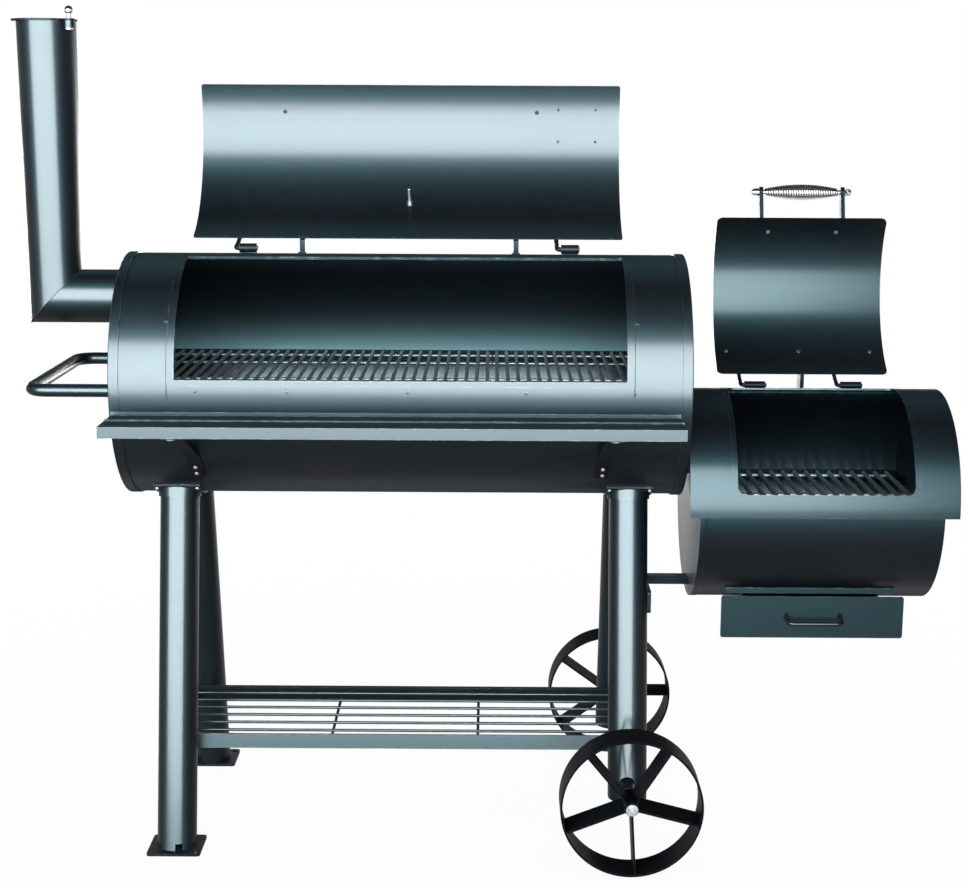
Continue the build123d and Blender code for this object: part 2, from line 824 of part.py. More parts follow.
def charcoal_grate():
    parts = []
    count = 18
    middle = (fire_left + fire_right) / 2
    for index in range(count):
        x = middle + (index - (count - 1) / 2) * 21.0
        parts.append(bar((x, -166, fire_z), (x, 166, fire_z), 4))
    for y in (-162, 0, 162):
        parts.append(bar((middle - 186, y, fire_z - 5), (middle + 186, y, fire_z - 5), 4))
    return joined(parts)


def firebox_hinge_mounts():
    parts = []
    for x1, x2 in ((585.6, 621.6), (752.9, 788.9)):
        parts.append(sleeve(x1, x2, fire_hinge_y, fire_hinge_z, fire_sleeve_r,
                            fire_rod_r + pin_gap, fire_z, hood_r))
    y, z = open_drum_centre(fire_hinge_y, fire_hinge_z, fire_open_angle, fire_z)
    fin = box(687.6, 694.4, 86, 118, 690, 800)
    fin = fin - drum(hood_r, 600, 800, fire_z)
    parts.append(fin - bar((650, y, z), (720, y, z), fire_lid_outer_r + 0.4))
    return group(parts)


# ---- firebox lid (modelled shut, then thrown back) ----

fire_handle_x = 693.6
fire_handle_half = 72.0
fire_handle_angle = 79.3
fire_handle_lean = 47.0
fire_handle_reach = 71.0
strip_angle = 8.2
strip_bolts = (561.4, 690.0, 816.3)


def fire_foot_seats():
    return [seat(fire_handle_x + side * (fire_handle_half - 12), fire_lid_outer_r, fire_handle_angle,
                 fire_z) for side in (-1, 1)]


def strip_seats():
    return [seat(x, fire_lid_outer_r, strip_angle, fire_z) for x in strip_bolts]


def firebox_lid_panel():
    panel = soft_band(fire_lid_inner_r, fire_lid_outer_r, fire_lid_rear, fire_lid_front,
                      fire_lid_x - fire_lid_half, fire_lid_x + fire_lid_half, fire_z, 11)
    brace = soft_band(fire_lid_outer_r, fire_lid_outer_r + 2, strip_angle - 2, strip_angle + 2,
                      553, 825, fire_z, 3)
    panel = joined([panel, brace])
    for place in fire_foot_seats() + strip_seats():
        panel = panel - place * post(bolt_hole_r, -10, 10)
    return panel


def firebox_hinge_rods():
    lie = fire_lid_outer_r + fire_rod_r + 0.5
    return hinge_rods((580.0, 747.0), 44, fire_hinge_y, fire_hinge_z, fire_rod_r,
                      fire_z, lie, -18, 5)


def firebox_handle_posts():
    parts = []
    for side in (-1, 1):
        part, axis = handle_frame(fire_handle_x + side * fire_handle_half, side, fire_lid_outer_r,
                                  fire_handle_angle, fire_z, fire_handle_lean, fire_handle_reach, 4.0)
        parts.append(part)
    return group(parts)


def firebox_handle_grip():
    y, z = on_drum(fire_lid_outer_r, fire_handle_angle, fire_z)
    tilt = radians(fire_handle_angle + fire_handle_lean)
    y = y - fire_handle_reach * sin(tilt)
    z = z + fire_handle_reach * cos(tilt)
    return grip(fire_handle_x, (y, z), fire_handle_half + handle_post / 2, 64, 7, 14.2, 4.0, 6.6,
                89.5)


def firebox_lid_bolts():
    parts = [rivet(place, bolt_r, 5.5, 2.8, -2.06, 3.5, 3.4, 0.4) for place in fire_foot_seats()]
    parts += [rivet(place, bolt_r, 4.5, 2.4, -2.06, 2.0, 3.4, 0.65) for place in strip_seats()]
    return group(parts)


# ---- ash drawer ----

def ash_housing():
    parts = []
    for x1 in (housing_left, housing_right - 3):
        parts.append(box(x1, x1 + 3, housing_front_y, 118, 352, 470))
    parts.append(box(housing_left, housing_right, 115, 118, 352, 470))
    lip_left = housing_left - housing_lip
    lip_right = housing_right + housing_lip
    parts.append(box(lip_left, lip_right, housing_front_y, housing_front_y + 3, 421.5, 470))
    parts.append(box(housing_left, housing_right, housing_front_y, housing_front_y + 12, 421.5, 424.5))
    parts.append(box(housing_left, housing_left + 16, housing_front_y + 2, 118, 348.6, 352))
    parts.append(box(housing_right - 16, housing_right, housing_front_y + 2, 118, 348.6, 352))
    return joined(parts) - drum(fire_r, 500, 870, fire_z)


def ash_drawer_body():
    front = box(drawer_left, drawer_right, drawer_front_y, drawer_front_y + 2.5, drawer_bottom,
                drawer_top)
    upright = [edge for edge in front.edges() if abs(edge.length - 2.5) < 0.01]
    front = fillet(upright, 4)
    tray = box(housing_left + 5, housing_right - 5, drawer_front_y + 1, 112, 352.4, 387)
    tray = tray - box(housing_left + 7, housing_right - 7, drawer_front_y + 2.4, 110, 354.4, 400)
    return joined([front, tray])


def ash_drawer_handle():
    left = 643.0
    right = 732.0
    points = [(left, drawer_front_y, 388), (left, drawer_front_y - 27, 380),
              (right, drawer_front_y - 27, 380), (right, drawer_front_y, 388)]
    behind = box(left - 20, right + 20, drawer_front_y, drawer_front_y + 20, 360, 410)
    return bent_rod(points, 3.6, 9) - behind


def build_parts():
    parts = {
        "main_barrel_shell": barrel_shell(),
        "left_end_cap": left_cap(),
        "right_end_cap": right_cap(),
        "opening_frame": opening_frame(),
        "lid_hinge_mounts": lid_hinge_mounts(),
        "chimney_stub": chimney_stub(),
        "chimney_pipe": chimney_pipe(),
        "chimney_cap": chimney_cap(),
        "chimney_cap_pin": chimney_cap_pin(),
        "side_handle": side_handle(),
        "front_shelf": front_shelf(),
        "shelf_braces": shelf_braces(),
        "frame_bolts": frame_bolts(),
        "leg_saddles": leg_saddles(),
        "leg_front_left": leg(left_leg_x, -1, foot_thick),
        "leg_front_right": leg(right_leg_x, -1, right_leg_end),
        "leg_rear_left": leg(left_leg_x, 1, foot_thick),
        "leg_rear_right": leg(right_leg_x, 1, right_leg_end),
        "foot_plates": foot_plates(),
        "bottom_shelf_bars": bottom_bars(),
        "bottom_shelf_wires": bottom_wires(),
        "cross_plate": cross_plate(),
        "firebox_strut": strut(),
        "axle": axle(),
        "axle_nuts": axle_nuts(),
        "front_wheel_rim": wheel_rim(-1),
        "front_wheel_spokes": wheel_spokes(-1, 273.5),
        "rear_wheel_rim": wheel_rim(1),
        "rear_wheel_spokes": wheel_spokes(1, 0),
        "firebox_shell": firebox_shell(),
        "firebox_left_plate": firebox_left_plate(),
        "firebox_right_plate": firebox_right_plate(),
        "firebox_hood": firebox_hood(),
        "firebox_throat": firebox_throat(),
        "firebox_hinge_mounts": firebox_hinge_mounts(),
        "charcoal_grate": charcoal_grate(),
        "ash_housing": ash_housing(),
        "ash_drawer_body": ash_drawer_body(),
        "ash_drawer_handle": ash_drawer_handle(),
        "air_damper": air_damper(),
    }
    for name, x in (("left", -293.0), ("middle", 0.0), ("right", 293.0)):
        parts["cooking_grate_" + name] = cooking_grate(x)
    main_lid = {
        "main_lid_panel": main_lid_panel(),
        "main_lid_hinge_rods": main_hinge_rods(),
        "main_lid_handle_posts": main_handle_posts(),
        "main_lid_handle_grip": main_handle_grip(),
        "main_lid_bolts": main_lid_bolts(),
        "name_plate": name_plate(),
        "thermometer_case": thermometer_case(),
        "thermometer_dial": thermometer_dial(),
        "thermometer_needle": thermometer_needle(),
        "thermometer_glass": thermometer_glass(),
    }
    for name, part in main_lid.items():
        parts[name] = swing(part, lid_hinge_y, lid_hinge_z, lid_open_angle)
    fire_lid = {
        "firebox_lid_panel": firebox_lid_panel(),
        "firebox_lid_hinge_rods": firebox_hinge_rods(),
        "firebox_lid_handle_posts": firebox_handle_posts(),
        "firebox_lid_handle_grip": firebox_handle_grip(),
        "firebox_lid_bolts": firebox_lid_bolts(),
    }
    for name, part in fire_lid.items():
        parts[name] = swing(part, fire_hinge_y, fire_hinge_z, fire_open_angle)
    return parts


def centre_shift(parts):
    """The move that puts the middle of the underside at the origin."""
    boxes = [part.bounding_box() for part in parts.values()]
    low = [min(getattr(size.min, letter) for size in boxes) for letter in "XYZ"]
    high = [max(getattr(size.max, letter) for size in boxes) for letter in "XYZ"]
    return Vector(-(low[0] + high[0]) / 2, -(low[1] + high[1]) / 2, -low[2])


def main():
    parts = build_parts()
    shift = centre_shift(parts)
    os.makedirs("parts", exist_ok=True)
    for name, part in parts.items():
        export_step(part.translate(shift), "parts/" + name + ".step")
    print("pieces", len(parts), "shift", shift)


main()
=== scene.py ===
import json
import math

import bpy
from mathutils import Matrix, Vector

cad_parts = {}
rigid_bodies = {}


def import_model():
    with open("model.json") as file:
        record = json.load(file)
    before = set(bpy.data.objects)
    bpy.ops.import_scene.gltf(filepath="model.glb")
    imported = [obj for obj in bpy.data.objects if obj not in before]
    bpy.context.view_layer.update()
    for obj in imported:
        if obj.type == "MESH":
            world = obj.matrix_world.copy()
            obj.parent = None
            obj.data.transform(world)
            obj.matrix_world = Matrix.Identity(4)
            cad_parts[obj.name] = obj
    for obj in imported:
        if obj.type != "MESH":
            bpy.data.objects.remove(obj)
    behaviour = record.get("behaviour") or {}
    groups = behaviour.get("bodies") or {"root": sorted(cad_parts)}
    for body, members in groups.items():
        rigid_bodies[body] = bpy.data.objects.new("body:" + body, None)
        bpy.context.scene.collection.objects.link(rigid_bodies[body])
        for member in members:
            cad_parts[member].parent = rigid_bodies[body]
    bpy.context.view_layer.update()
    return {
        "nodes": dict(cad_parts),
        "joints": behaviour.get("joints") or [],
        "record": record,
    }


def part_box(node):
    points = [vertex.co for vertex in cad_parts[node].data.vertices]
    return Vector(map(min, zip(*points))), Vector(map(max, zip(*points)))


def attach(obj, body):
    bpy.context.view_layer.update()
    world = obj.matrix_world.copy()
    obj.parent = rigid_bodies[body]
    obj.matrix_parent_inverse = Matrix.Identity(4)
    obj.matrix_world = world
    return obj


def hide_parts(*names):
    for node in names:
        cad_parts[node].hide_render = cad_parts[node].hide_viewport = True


# Offset smoker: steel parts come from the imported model, finishes and small details are made here

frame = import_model()
nodes = frame["nodes"]
bpy.ops.object.select_all(action="DESELECT")
print("stage: frame loaded,", len(nodes), "nodes")

cameraSettings = {
    "place": (0.0122, -2.9488, 1.2353),
    "turnDegrees": (78.872, -0.271, 0.259),
    "lensMm": 64.93,
    "sensorMm": 36.0,
    "farClip": 100.0,
}


def makeCamera(settings):
    cameraData = bpy.data.cameras.new("photoCamera")
    cameraObject = bpy.data.objects.new("photoCamera", cameraData)
    bpy.context.scene.collection.objects.link(cameraObject)
    cameraObject.location = settings["place"]
    cameraObject.rotation_euler = [math.radians(angle) for angle in settings["turnDegrees"]]
    cameraData.lens = settings["lensMm"]
    cameraData.sensor_width = settings["sensorMm"]
    cameraData.clip_end = settings["farClip"]
    bpy.context.scene.camera = cameraObject


makeCamera(cameraSettings)
print("stage: camera")


# small helpers for shader trees
def addNode(tree, kind, **values):
    node = tree.nodes.new(kind)
    for name, value in values.items():
        setattr(node, name, value)
    return node


def wire(tree, source, target):
    tree.links.new(source, target)


def setInputs(node, **values):
    for name, value in values.items():
        node.inputs[name].default_value = value


def mixColours(tree, factor, first, second):
    mixer = addNode(tree, "ShaderNodeMix", data_type="RGBA")
    for slot, value in ((0, factor), (6, first), (7, second)):
        if hasattr(value, "links"):
            wire(tree, value, mixer.inputs[slot])
        elif slot == 0:
            mixer.inputs[slot].default_value = value
        else:
            mixer.inputs[slot].default_value = (*value, 1.0)
    return mixer.outputs[2]


def mathNode(tree, operation, first, second=None, clamp=False):
    node = addNode(tree, "ShaderNodeMath", operation=operation, use_clamp=clamp)
    for slot, value in ((0, first), (1, second)):
        if value is None:
            continue
        if hasattr(value, "links"):
            wire(tree, value, node.inputs[slot])
        else:
            node.inputs[slot].default_value = value
    return node.outputs[0]


def mapRange(tree, value, low, high, toLow, toHigh):
    node = addNode(tree, "ShaderNodeMapRange")
    wire(tree, value, node.inputs["Value"])
    setInputs(node, **{"From Min": low, "From Max": high, "To Min": toLow, "To Max": toHigh})
    return node.outputs["Result"]


def newGroup(name, inputs, outputs):
    # every socket is a plain number, and useGroup gives each input its value
    group = bpy.data.node_groups.new(name, "ShaderNodeTree")
    for side, labels in (("INPUT", inputs), ("OUTPUT", outputs)):
        for label in labels:
            group.interface.new_socket(label, in_out=side, socket_type="NodeSocketFloat")
    return group, addNode(group, "NodeGroupInput"), addNode(group, "NodeGroupOutput")


def useGroup(tree, group, **values):
    node = addNode(tree, "ShaderNodeGroup", node_tree=group)
    for name, value in values.items():
        if hasattr(value, "links"):
            wire(tree, value, node.inputs[name])
        else:
            node.inputs[name].default_value = value
    return node


wearSettings = {"bevelSamples": 4, "flatDot": 0.995, "sharpDot": 0.86, "spotLow": 0.42,
                "spotHigh": 0.66, "detail": 3.0, "grain": 0.6}


def makeEdgeWear(look):
    # a mask that is 1 on sharp edges, broken up so that it looks rubbed rather than drawn
    group, inside, outside = newGroup("edgeWear", ["Width", "Breakup", "Amount"], ["Mask"])
    bevel = addNode(group, "ShaderNodeBevel", samples=look["bevelSamples"])
    wire(group, inside.outputs["Width"], bevel.inputs["Radius"])
    geometry = addNode(group, "ShaderNodeNewGeometry")
    facing = addNode(group, "ShaderNodeVectorMath", operation="DOT_PRODUCT")
    wire(group, bevel.outputs["Normal"], facing.inputs[0])
    wire(group, geometry.outputs["Normal"], facing.inputs[1])
    edge = mapRange(group, facing.outputs["Value"], look["flatDot"], look["sharpDot"], 0.0, 1.0)
    place = addNode(group, "ShaderNodeTexCoord")
    noise = addNode(group, "ShaderNodeTexNoise")
    wire(group, place.outputs["Object"], noise.inputs["Vector"])
    wire(group, inside.outputs["Breakup"], noise.inputs["Scale"])
    setInputs(noise, Detail=look["detail"], Roughness=look["grain"])
    spots = mapRange(group, noise.outputs["Fac"], look["spotLow"], look["spotHigh"], 0.0, 1.0)
    worn = mathNode(group, "MULTIPLY", edge, spots)
    scaled = mathNode(group, "MULTIPLY", worn, inside.outputs["Amount"], clamp=True)
    wire(group, scaled, outside.inputs["Mask"])
    return group


cloudSettings = {"detail": {"Slow": 3.0, "Fine": 5.0}, "grain": 0.55,
                 "slowSpread": (0.35, 0.65), "fineSpread": (0.3, 0.7)}


def makeClouds(look):
    # slow and fine variation together, centred on 0.5
    group, inside, outside = newGroup("paintClouds", ["Slow", "Fine"], ["Slow", "Fine"])
    place = addNode(group, "ShaderNodeTexCoord")
    for label, detail in look["detail"].items():
        noise = addNode(group, "ShaderNodeTexNoise")
        wire(group, place.outputs["Object"], noise.inputs["Vector"])
        wire(group, inside.outputs[label], noise.inputs["Scale"])
        setInputs(noise, Detail=detail, Roughness=look["grain"])
        wire(group, noise.outputs["Fac"], outside.inputs[label])
    return group


peelSettings = {"fineTimes": 2.3, "fineDetail": 2.0}


def makeOrangePeel(look):
    # the fine unevenness of sprayed paint, as a height
    group, inside, outside = newGroup("orangePeel", ["Scale"], ["Height"])
    place = addNode(group, "ShaderNodeTexCoord")
    cells = addNode(group, "ShaderNodeTexVoronoi", feature="SMOOTH_F1")
    wire(group, place.outputs["Object"], cells.inputs["Vector"])
    wire(group, inside.outputs["Scale"], cells.inputs["Scale"])
    noise = addNode(group, "ShaderNodeTexNoise")
    wire(group, place.outputs["Object"], noise.inputs["Vector"])
    fineScale = mathNode(group, "MULTIPLY", inside.outputs["Scale"], look["fineTimes"])
    wire(group, fineScale, noise.inputs["Scale"])
    setInputs(noise, Detail=look["fineDetail"])
    both = mathNode(group, "ADD", cells.outputs["Distance"], noise.outputs["Fac"])
    wire(group, both, outside.inputs["Height"])
    return group


def makeDrumInside():
    # two masks for the inside of a drum along X: its wall just above the grates, fading upward,
    # which carries a painted glow of reflected light, and its floor below them
    group, inside, outside = newGroup(
        "drumInside",
        ["AxisHeight", "Radius", "Left", "Right", "GrateHeight", "Fade", "Falloff"],
        ["Wall", "Floor"])
    place = addNode(group, "ShaderNodeTexCoord")
    split = addNode(group, "ShaderNodeSeparateXYZ")
    wire(group, place.outputs["Object"], split.inputs["Vector"])
    up = mathNode(group, "SUBTRACT", split.outputs["Z"], inside.outputs["AxisHeight"])
    upSquared = mathNode(group, "MULTIPLY", up, up)
    acrossSquared = mathNode(group, "MULTIPLY", split.outputs["Y"], split.outputs["Y"])
    reach = mathNode(group, "SQRT", mathNode(group, "ADD", upSquared, acrossSquared))
    within = mathNode(group, "LESS_THAN", reach, inside.outputs["Radius"])
    for test, end in (("GREATER_THAN", "Left"), ("LESS_THAN", "Right")):
        passed = mathNode(group, test, split.outputs["X"], inside.outputs[end])
        within = mathNode(group, "MULTIPLY", within, passed)
    above = mathNode(group, "SUBTRACT", split.outputs["Z"], inside.outputs["GrateHeight"])
    share = mathNode(group, "DIVIDE", above, inside.outputs["Fade"])
    fall = mathNode(group, "SUBTRACT", 1.0, share, clamp=True)
    isAbove = mathNode(group, "GREATER_THAN", above, 0.0)
    faded = mathNode(group, "POWER", fall, inside.outputs["Falloff"])
    paintedGlow = mathNode(group, "MULTIPLY", faded, isAbove)
    wire(group, mathNode(group, "MULTIPLY", paintedGlow, within), outside.inputs["Wall"])
    floor = mathNode(group, "SUBTRACT", 1.0, isAbove)
    wire(group, mathNode(group, "MULTIPLY", floor, within), outside.inputs["Floor"])
    return group


def makeFlatFaces():
    # a mask for faces that look straight up or down, where the paint is dusty and dull
    group, inside, outside = newGroup("flatFaces", ["Start", "Full"], ["Mask", "Clean"])
    place = addNode(group, "ShaderNodeTexCoord")
    split = addNode(group, "ShaderNodeSeparateXYZ")
    wire(group, place.outputs["Normal"], split.inputs["Vector"])
    steep = mathNode(group, "ABSOLUTE", split.outputs["Z"])
    rise = mathNode(group, "SUBTRACT", steep, inside.outputs["Start"])
    span = mathNode(group, "SUBTRACT", inside.outputs["Full"], inside.outputs["Start"])
    mask = mathNode(group, "DIVIDE", rise, span, clamp=True)
    wire(group, mask, outside.inputs["Mask"])
    wire(group, mathNode(group, "SUBTRACT", 1.0, mask), outside.inputs["Clean"])
    return group


edgeWearGroup = makeEdgeWear(wearSettings)
cloudGroup = makeClouds(cloudSettings)
peelGroup = makeOrangePeel(peelSettings)
drumGroup = makeDrumInside()
flatGroup = makeFlatFaces()

wornFinish = {"roughAdd": 0.12, "metal": 0.8}
dustRange = {"Start": 0.80, "Full": 0.95}


def cloudedFinish(tree, clouds, look):
    # colour and roughness both drift a little across a surface
    slow = mapRange(tree, clouds.outputs["Slow"], *cloudSettings["slowSpread"], 0.0, 1.0)
    tone = mixColours(tree, slow, look["dark"], look["light"])
    rough = mapRange(tree, clouds.outputs["Fine"], *cloudSettings["fineSpread"], *look["rough"])
    return tone, rough


def makePaint(name, look, drums=()):
    material = bpy.data.materials.new(name)
    material.use_nodes = True
    tree = material.node_tree
    shader = tree.nodes["Principled BSDF"]
    clouds = useGroup(tree, cloudGroup, Slow=look["slow"], Fine=look["fine"])
    wear = useGroup(tree, edgeWearGroup, Width=look["wearWidth"], Breakup=look["wearBreakup"],
                    Amount=look["wearAmount"])
    tone, rough = cloudedFinish(tree, clouds, look)
    for drum in drums:
        masks = useGroup(tree, drumGroup, **drum["place"])
        # painted light: the inside wall just above the grates takes a lighter tone, fading upward,
        # in place of reflected light
        tone = mixColours(tree, masks.outputs["Wall"], tone, drum["paintedGlowTone"])
        floorChange = mathNode(tree, "MULTIPLY", masks.outputs["Floor"], drum["floorRough"])
        rough = mathNode(tree, "ADD", rough, floorChange, clamp=True)
    worn = mixColours(tree, wear.outputs["Mask"], tone, look["bare"])
    wire(tree, worn, shader.inputs["Base Color"])
    flat = useGroup(tree, flatGroup, **dustRange)
    dust = mathNode(tree, "MULTIPLY", flat.outputs["Mask"], look["dustRough"])
    rough = mathNode(tree, "ADD", rough, dust, clamp=True)
    extraRough = mathNode(tree, "MULTIPLY", wear.outputs["Mask"], wornFinish["roughAdd"])
    wire(tree, mathNode(tree, "ADD", rough, extraRough), shader.inputs["Roughness"])
    wire(tree, mathNode(tree, "MULTIPLY", flat.outputs["Clean"], look["coat"]),
         shader.inputs["Coat Weight"])
    metal = mathNode(tree, "MULTIPLY", wear.outputs["Mask"], wornFinish["metal"])
    wire(tree, metal, shader.inputs["Metallic"])
    peel = useGroup(tree, peelGroup, Scale=look["peelScale"])
    bump = addNode(tree, "ShaderNodeBump")
    setInputs(bump, Strength=look["peelStrength"], Distance=look["peelDepth"])
    wire(tree, peel.outputs["Height"], bump.inputs["Height"])
    wire(tree, bump.outputs["Normal"], shader.inputs["Normal"])
    setInputs(shader, **{"Specular IOR Level": look["specular"],
                         "Specular Tint": (*look["sheenTint"], 1.0),
                         "Coat Roughness": look["coatRough"]})
    return material


def makeMetal(name, look):
    material = bpy.data.materials.new(name)
    material.use_nodes = True
    tree = material.node_tree
    shader = tree.nodes["Principled BSDF"]
    clouds = useGroup(tree, cloudGroup, Slow=look["slow"], Fine=look["fine"])
    tone, rough = cloudedFinish(tree, clouds, look)
    wire(tree, tone, shader.inputs["Base Color"])
    wire(tree, rough, shader.inputs["Roughness"])
    setInputs(shader, Metallic=look["metallic"])
    bump = addNode(tree, "ShaderNodeBump")
    setInputs(bump, Strength=look["bump"], Distance=look["bumpDepth"])
    wire(tree, clouds.outputs["Fine"], bump.inputs["Height"])
    wire(tree, bump.outputs["Normal"], shader.inputs["Normal"])
    return material


bodyPaint = {
    "dark": (0.0055, 0.0045, 0.0070), "light": (0.0085, 0.0070, 0.0100), "bare": (0.14, 0.16, 0.17),
    "slow": 3.0, "fine": 45.0, "rough": (0.41, 0.46),
    "wearWidth": 0.0016, "wearBreakup": 90.0, "wearAmount": 0.35,
    "peelScale": 380.0, "peelStrength": 0.10, "peelDepth": 0.0006,
    "dustRough": 0.40, "specular": 0.05, "coat": 0.10, "coatRough": 0.22,
    "sheenTint": (0.30, 0.82, 0.95),
}
ironPaint = {
    "dark": (0.0060, 0.0052, 0.0070), "light": (0.0095, 0.0085, 0.0105), "bare": (0.16, 0.18, 0.19),
    "slow": 6.0, "fine": 60.0, "rough": (0.48, 0.56),
    "wearWidth": 0.0014, "wearBreakup": 120.0, "wearAmount": 0.30,
    "peelScale": 420.0, "peelStrength": 0.12, "peelDepth": 0.0006,
    "dustRough": 0.30, "specular": 0.022, "coat": 0.015, "coatRough": 0.30,
    "sheenTint": (0.30, 0.76, 1.0),
}
gratePaint = {
    "dark": (0.050, 0.056, 0.064), "light": (0.090, 0.098, 0.108), "bare": (0.30, 0.31, 0.32),
    "slow": 30.0, "fine": 300.0, "rough": (0.38, 0.52),
    "wearWidth": 0.0012, "wearBreakup": 200.0, "wearAmount": 0.4,
    "peelScale": 500.0, "peelStrength": 0.10, "peelDepth": 0.0004,
    "dustRough": 0.0, "specular": 0.34, "coat": 0.0, "coatRough": 0.3,
    "sheenTint": (0.62, 0.90, 1.0),
}
plainSteel = {"dark": (0.42, 0.44, 0.46), "light": (0.60, 0.62, 0.64), "slow": 60.0, "fine": 400.0,
              "rough": (0.24, 0.40), "metallic": 1.0, "bump": 0.15, "bumpDepth": 0.0004}
brightSteel = {"dark": (0.55, 0.56, 0.58), "light": (0.72, 0.73, 0.75), "slow": 40.0, "fine": 300.0,
               "rough": (0.14, 0.26), "metallic": 1.0, "bump": 0.08, "bumpDepth": 0.0004}
dialWhite = {"dark": (0.78, 0.78, 0.75), "light": (0.84, 0.84, 0.82), "slow": 20.0, "fine": 200.0,
             "rough": (0.45, 0.6), "metallic": 0.0, "bump": 0.05, "bumpDepth": 0.0004}
dialInk = {"dark": (0.012, 0.012, 0.013), "light": (0.02, 0.02, 0.022), "slow": 80.0, "fine": 400.0,
           "rough": (0.4, 0.5), "metallic": 0.0, "bump": 0.05, "bumpDepth": 0.0004}
needleRed = {"dark": (0.42, 0.03, 0.025), "light": (0.55, 0.05, 0.04), "slow": 80.0, "fine": 300.0,
             "rough": (0.35, 0.45), "metallic": 0.0, "bump": 0.05, "bumpDepth": 0.0004}

# inside each drum, the lighter tone on the wall just above the grates is painted reflected light;
# below the grates only the roughness changes
drumLooks = [
    {"shell": "main_barrel_shell", "grate": "cooking_grate_left", "sheet": 0.0010, "fade": 0.125,
     "falloff": 4.5, "paintedGlowTone": (0.215, 0.39, 0.44), "floorRough": -0.16},
    {"shell": "firebox_shell", "grate": "charcoal_grate", "sheet": 0.0010, "fade": 0.09,
     "falloff": 4.5, "paintedGlowTone": (0.018, 0.026, 0.033), "floorRough": -0.16},
]


def measureDrum(look):
    low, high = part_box(look["shell"])
    radius = (high[1] - low[1]) / 2
    place = {"AxisHeight": low[2] + radius, "Radius": radius - look["sheet"], "Left": low[0],
             "Right": high[0], "GrateHeight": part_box(look["grate"])[1][2], "Fade": look["fade"],
             "Falloff": look["falloff"]}
    return {"place": place, "paintedGlowTone": look["paintedGlowTone"], "floorRough": look["floorRough"]}


paintMaterial = makePaint("satinBlackPaint", bodyPaint, [measureDrum(look) for look in drumLooks])
ironMaterial = makePaint("dullBlackPaint", ironPaint)
grateMaterial = makePaint("darkGrateWire", gratePaint)
steelMaterial = makeMetal("platedSteel", plainSteel)
brightMaterial = makeMetal("polishedSteel", brightSteel)
dialMaterial = makeMetal("dialFace", dialWhite)
needleMaterial = makeMetal("redNeedle", needleRed)
markMaterial = makeMetal("dialPrint", dialInk)

glassLook = {"slow": 8.0, "fine": 90.0, "dark": (0.93, 0.97, 0.96), "light": (0.98, 1.0, 1.0),
             "rough": (0.02, 0.07), "bend": 1.45}


def makeGlass(name, look):
    material = bpy.data.materials.new(name)
    material.use_nodes = True
    tree = material.node_tree
    shader = tree.nodes["Principled BSDF"]
    clouds = useGroup(tree, cloudGroup, Slow=look["slow"], Fine=look["fine"])
    tone = mixColours(tree, clouds.outputs["Slow"], look["dark"], look["light"])
    wire(tree, tone, shader.inputs["Base Color"])
    rough = mapRange(tree, clouds.outputs["Fine"], *cloudSettings["fineSpread"], *look["rough"])
    wire(tree, rough, shader.inputs["Roughness"])
    setInputs(shader, **{"Transmission Weight": 1.0, "IOR": look["bend"]})
    return material


glassMaterial = makeGlass("gaugeGlass", glassLook)

finishes = {
    "black_paint": paintMaterial, "black_iron": ironMaterial, "bare_steel": steelMaterial,
    "bright_steel": brightMaterial, "grate_steel": grateMaterial, "dial_white": dialMaterial,
    "needle_red": needleMaterial, "gauge_glass": glassMaterial,
}


def dressNodes():
    for entry in frame["record"]["subparts"]:
        target = nodes[entry["node"]]
        target.data.materials.clear()
        target.data.materials.append(finishes[entry["material_slot"]])


dressNodes()
print("stage: finishes on the steel frame")


# helpers for modelling: everything is made where it belongs, then left at the origin
def clearSelection():
    if bpy.context.object and bpy.context.object.mode != "OBJECT":
        bpy.ops.object.mode_set(mode="OBJECT")
    bpy.ops.object.select_all(action="DESELECT")


def settle(piece, name):
    clearSelection()
    piece.select_set(True)
    bpy.context.view_layer.objects.active = piece
    bpy.ops.object.transform_apply(location=True, rotation=True, scale=True)
    piece.name = name
    piece.data.name = name
    return piece


def cleanNormals(piece, mergeDistance=0.00001):
    clearSelection()
    piece.select_set(True)
    bpy.context.view_layer.objects.active = piece
    bpy.ops.object.mode_set(mode="EDIT")
    bpy.ops.mesh.select_all(action="SELECT")
    bpy.ops.mesh.remove_doubles(threshold=mergeDistance)
    bpy.ops.mesh.normals_make_consistent(inside=False)
    bpy.ops.object.mode_set(mode="OBJECT")


def smoothByAngle(piece, degrees):
    clearSelection()
    piece.select_set(True)
    bpy.context.view_layer.objects.active = piece
    bpy.ops.object.shade_smooth_by_angle(angle=math.radians(degrees))


def joinPieces(pieces, name):
    clearSelection()
    for piece in pieces:
        piece.select_set(True)
    bpy.context.view_layer.objects.active = pieces[0]
    if len(pieces) > 1:
        bpy.ops.object.join()
    return settle(bpy.context.view_layer.objects.active, name)


def moveMesh(piece, matrix):
    piece.data.transform(matrix)
    piece.data.update()


def finishPiece(piece, body, material):
    piece.data.materials.clear()
    piece.data.materials.append(material)
    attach(piece, body)


def frameFrom(origin, right, up, out):
    # a matrix that carries X, Y and Z to right, up and out
    matrix = Matrix((right, up, out)).transposed().to_4x4()
    matrix.translation = origin
    return matrix


def frameAlong(origin, direction):
    # Z runs along direction
    rotation = Vector(direction).normalized().to_track_quat("Z", "Y")
    return Matrix.Translation(origin) @ rotation.to_matrix().to_4x4()


gripSettings = {
    "mainLidGrip": {"node": "main_lid_handle_grip", "body": "main_lid", "coilHalf": 0.100,
                    "endRadius": 0.0080, "barRadius": 0.0050, "tipRadius": 0.0080,
                    "postFace": 0.2385, "wire": 0.0044, "turns": 44},
    "fireboxGrip": {"node": "firebox_lid_handle_grip", "body": "firebox_lid", "coilHalf": 0.0640,
                    "endRadius": 0.0070, "barRadius": 0.0040, "tipRadius": 0.0066,
                    "postFace": 0.0755, "wire": 0.0042, "turns": 29},
}
gripMesh = {"wireSides": 8, "turnSteps": 18, "barSides": 24, "tipSteps": 5, "bluntSteps": 0.35,
            "endFacing": 0.9, "smooth": 50}


